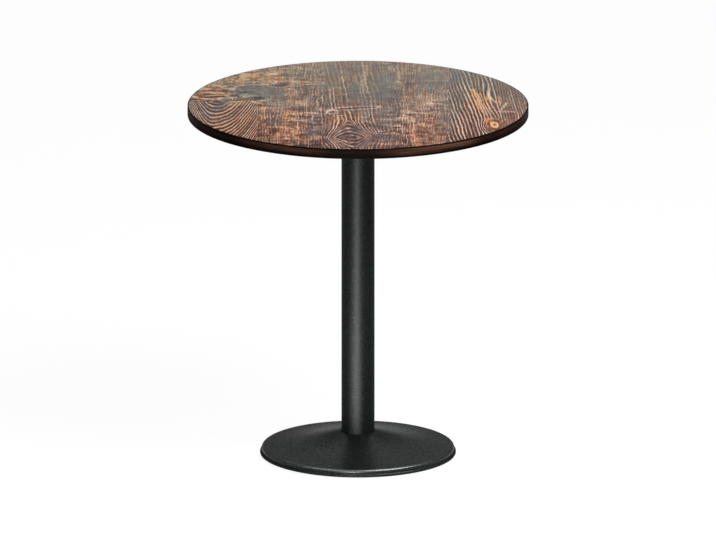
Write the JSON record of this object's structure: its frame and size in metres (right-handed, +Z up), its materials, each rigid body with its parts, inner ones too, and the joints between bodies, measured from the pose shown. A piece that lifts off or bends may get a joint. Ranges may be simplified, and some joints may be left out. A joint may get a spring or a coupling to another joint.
{
  "type": "pedestal table",
  "caption": "Round pedestal table: wood-look board top on a spider, round tube column tied by a rod to a bell-shaped cast foot with screw glides.",
  "frame": {"origin": "on the floor, under the middle of the column", "axes": "+Z up, +X to the right in the picture, -Y towards the viewer; the top's grain runs along Y"},
  "size_m": [0.7, 0.7, 0.741],
  "materials": {
    "wood_face": "weathered wood-look decorative sheet, satin lacquer",
    "board": "raw particle board",
    "backing": "plain dark balancing sheet, matt",
    "edge_band": "dark wood-grain band with burnt arrises, satin",
    "coated_iron": "fine textured black powder coat",
    "coated_tube": "fine textured black powder coat",
    "zinc_steel": "bright zinc plate",
    "nylon": "moulded black nylon"
  },
  "bodies": {
    "table": {"face_laminate": "wood_face", "top_core": "board", "backing_laminate": "backing", "edge_band": "edge_band", "top_spider": "coated_iron", "top_screws": "zinc_steel", "column_tube": "coated_tube", "tie_rod": "zinc_steel", "head_washer": "zinc_steel", "head_nut": "zinc_steel", "base_washer": "zinc_steel", "spring_washer": "zinc_steel", "base_nut": "zinc_steel", "base_casting": "coated_iron"},
    "pad_1": {"glide_1_pad": "nylon"},
    "stud_1": {"glide_1_stud": "zinc_steel"},
    "pad_2": {"glide_2_pad": "nylon"},
    "stud_2": {"glide_2_stud": "zinc_steel"},
    "pad_3": {"glide_3_pad": "nylon"},
    "stud_3": {"glide_3_stud": "zinc_steel"},
    "pad_4": {"glide_4_pad": "nylon"},
    "stud_4": {"glide_4_stud": "zinc_steel"}
  },
  "joints": [
    {"name": "glide_1_travel", "type": "slide", "parent": "table", "child": "pad_1", "axis": [0, 0, -1], "range_m": [0, 0.005]},
    {"name": "glide_1_turn", "type": "hinge", "parent": "pad_1", "child": "stud_1", "pos_m": [0.155, 0, 0.01], "axis": [0, 0, -1], "range_deg": [0, 1440]},
    {"name": "glide_2_travel", "type": "slide", "parent": "table", "child": "pad_2", "axis": [0, 0, -1], "range_m": [0, 0.005]},
    {"name": "glide_2_turn", "type": "hinge", "parent": "pad_2", "child": "stud_2", "pos_m": [0, 0.155, 0.01], "axis": [0, 0, -1], "range_deg": [0, 1440]},
    {"name": "glide_3_travel", "type": "slide", "parent": "table", "child": "pad_3", "axis": [0, 0, -1], "range_m": [0, 0.005]},
    {"name": "glide_3_turn", "type": "hinge", "parent": "pad_3", "child": "stud_3", "pos_m": [-0.155, 0, 0.01], "axis": [0, 0, -1], "range_deg": [0, 1440]},
    {"name": "glide_4_travel", "type": "slide", "parent": "table", "child": "pad_4", "axis": [0, 0, -1], "range_m": [0, 0.005]},
    {"name": "glide_4_turn", "type": "hinge", "parent": "pad_4", "child": "stud_4", "pos_m": [0, -0.155, 0.01], "axis": [0, 0, -1], "range_deg": [0, 1440]}
  ],
  "couplings": [
    {"joint": "glide_1_travel", "follows": "glide_1_turn", "m_per_rad": 0.00019894},
    {"joint": "glide_2_travel", "follows": "glide_2_turn", "m_per_rad": 0.00019894},
    {"joint": "glide_3_travel", "follows": "glide_3_turn", "m_per_rad": 0.00019894},
    {"joint": "glide_4_travel", "follows": "glide_4_turn", "m_per_rad": 0.00019894}
  ]
}
